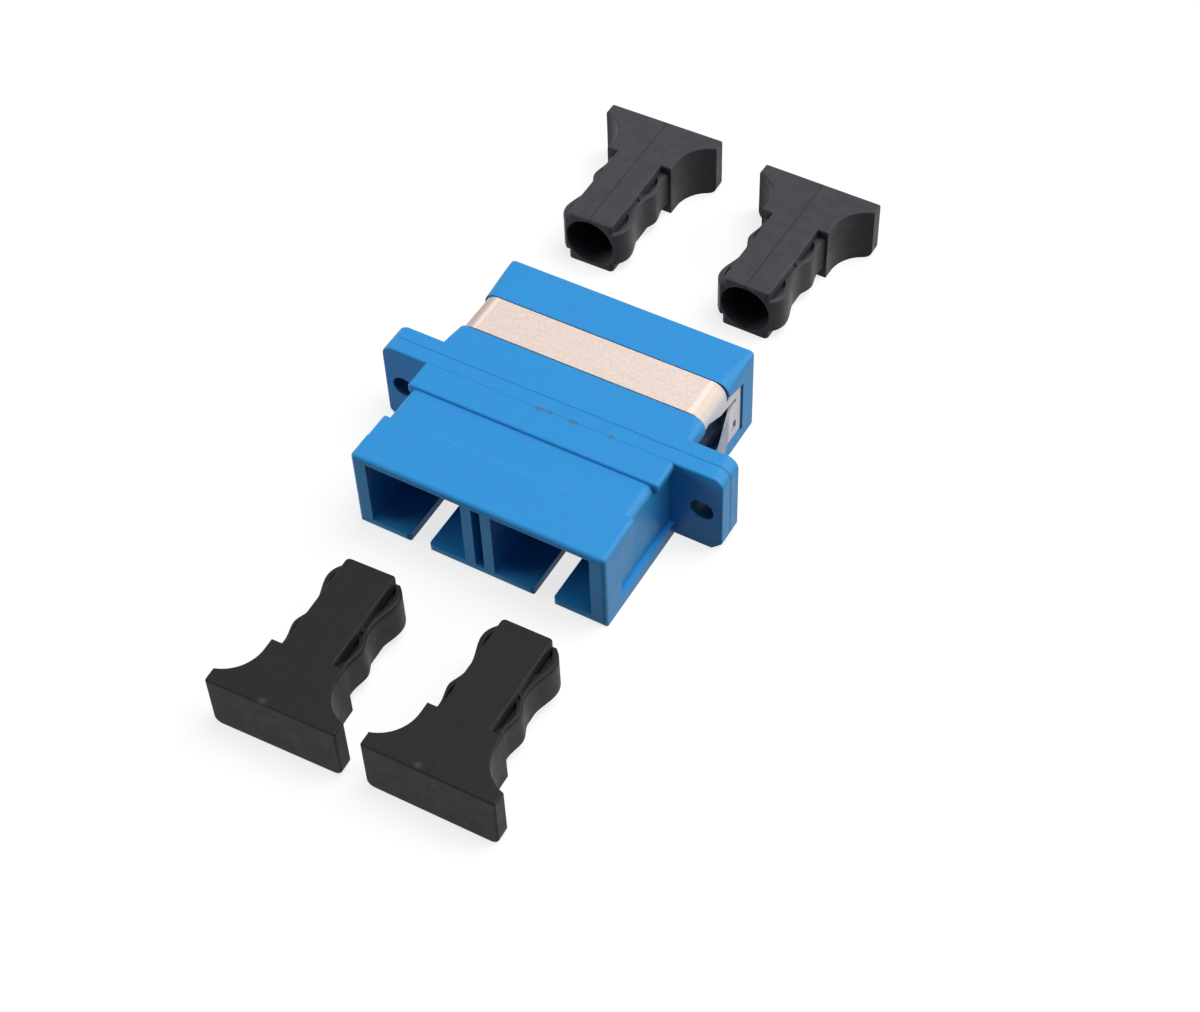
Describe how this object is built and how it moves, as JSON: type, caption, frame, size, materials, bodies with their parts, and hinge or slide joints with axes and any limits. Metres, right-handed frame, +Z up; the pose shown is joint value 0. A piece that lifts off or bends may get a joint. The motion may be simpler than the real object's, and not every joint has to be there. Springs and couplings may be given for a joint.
{
  "type": "duplex fibre adapter",
  "caption": "Duplex fibre adapter with push-pull ports at both ends, a screw flange round its middle, a spring clip for a panel, and loose dust plugs lying beside it.",
  "frame": {"origin": "on the bottom face, under the plane where the two housing halves meet, midway between the two ports", "axes": "+Y along the ports, from the front mouths to the rear mouths; +Z up, away from the keyways; +X across both ports"},
  "size_m": [0.0348, 0.0787, 0.0093],
  "materials": {
    "blue_housing": "moulded, satin",
    "blue_insert": "moulded, satin",
    "ceramic": "ground and polished ceramic",
    "spring_steel": "rolled sheet",
    "black_plug": "moulded, matt"
  },
  "bodies": {
    "root": {"housing_front": "blue_housing", "housing_rear": "blue_housing", "latch_insert_front_left": "blue_insert", "latch_insert_front_right": "blue_insert", "latch_insert_rear_left": "blue_insert", "latch_insert_rear_right": "blue_insert", "alignment_sleeve_left": "ceramic", "alignment_sleeve_right": "ceramic", "spring_clip": "spring_steel", "dust_plug_front_left": "black_plug", "dust_plug_front_right": "black_plug", "dust_plug_rear_left": "black_plug", "dust_plug_rear_right": "black_plug"}
  },
  "joints": []
}
